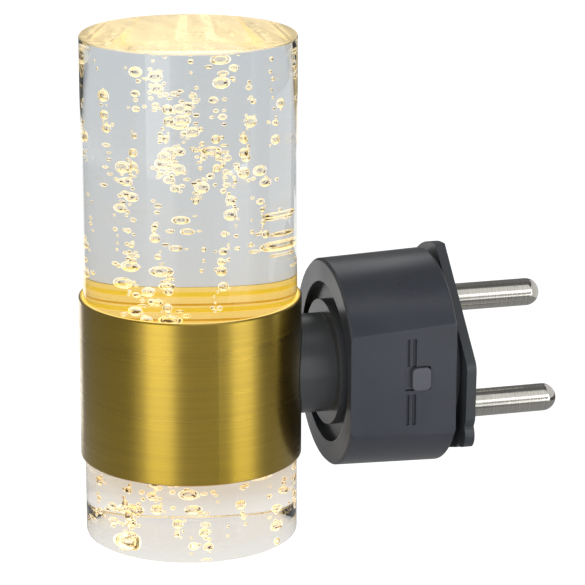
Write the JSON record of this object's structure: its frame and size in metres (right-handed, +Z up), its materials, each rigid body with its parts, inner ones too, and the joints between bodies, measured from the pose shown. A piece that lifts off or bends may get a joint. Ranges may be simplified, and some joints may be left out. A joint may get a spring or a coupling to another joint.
{
  "type": "plug-in night light",
  "caption": "Plug-in night light with clear bubble rods above and below a gold metal sleeve, on a swivelling two-pin plug with a slide switch.",
  "frame": {"origin": "centre of the plug's seating face, midway between the two pins", "axes": "+Y along the pins into the wall, +Z up along the lamp's rods, +X out of the housing's flat with the switch"},
  "size_m": [0.0375, 0.0829, 0.0858],
  "materials": {
    "carrier_plastic": "satin dark grey",
    "pin_metal": "turned, nickel-plated",
    "contact_brass": "plain stamped brass",
    "ring_steel": "spring steel",
    "friction_rubber": "matte black",
    "housing_plastic": "satin dark grey",
    "cover_plastic": "matte dark grey",
    "board_green": "green solder mask",
    "screw_steel": "zinc-plated",
    "film_red": "gloss red",
    "cap_blue": "dark blue sleeve",
    "chip_black": "moulded black epoxy",
    "resistor_green": "coated green-grey",
    "spring_brass": "phosphor bronze",
    "switch_black": "matte black",
    "leg_tin": "tinned",
    "knob_grey": "satin mid grey",
    "neck_plastic": "satin dark grey",
    "nut_steel": "zinc-plated",
    "core_aluminium": "turned",
    "sleeve_gold": "brushed around, gold anodised",
    "led_board_white": "white solder mask",
    "led_yellow": "phosphor yellow, lit",
    "clear_acrylic": "polished clear acrylic",
    "wire_red": "PVC insulation"
  },
  "bodies": {
    "wall_plug": {"pin_carrier": "carrier_plastic", "upper_pin": "pin_metal", "lower_pin": "pin_metal", "contact_rings": "contact_brass", "retaining_ring": "ring_steel", "friction_ring": "friction_rubber"},
    "lamp": {"plug_housing": "housing_plastic", "front_cover": "cover_plastic", "driver_board": "board_green", "board_screws": "screw_steel", "film_capacitor": "film_red", "smoothing_capacitor": "cap_blue", "bridge_rectifier": "chip_black", "driver_chip": "chip_black", "fuse_resistor": "resistor_green", "contact_springs": "spring_brass", "switch_body": "switch_black", "switch_legs": "leg_tin", "neck": "neck_plastic", "neck_nut": "nut_steel", "lamp_core": "core_aluminium", "sleeve": "sleeve_gold", "upper_led_board": "led_board_white", "lower_led_board": "led_board_white", "upper_leds": "led_yellow", "lower_leds": "led_yellow", "led_screws": "screw_steel", "upper_crystal": "clear_acrylic", "lower_crystal": "clear_acrylic", "lead_wires": "wire_red"},
    "switch": {"switch_knob": "knob_grey"}
  },
  "joints": [
    {"name": "plug_swivel", "type": "hinge", "parent": "wall_plug", "child": "lamp", "pos_m": [0, 0, 0], "axis": [0, 1, 0], "continuous": true},
    {"name": "switch_slide", "type": "slide", "parent": "lamp", "child": "switch", "axis": [0, -1, 0], "range_m": [0, 0.001]}
  ]
}
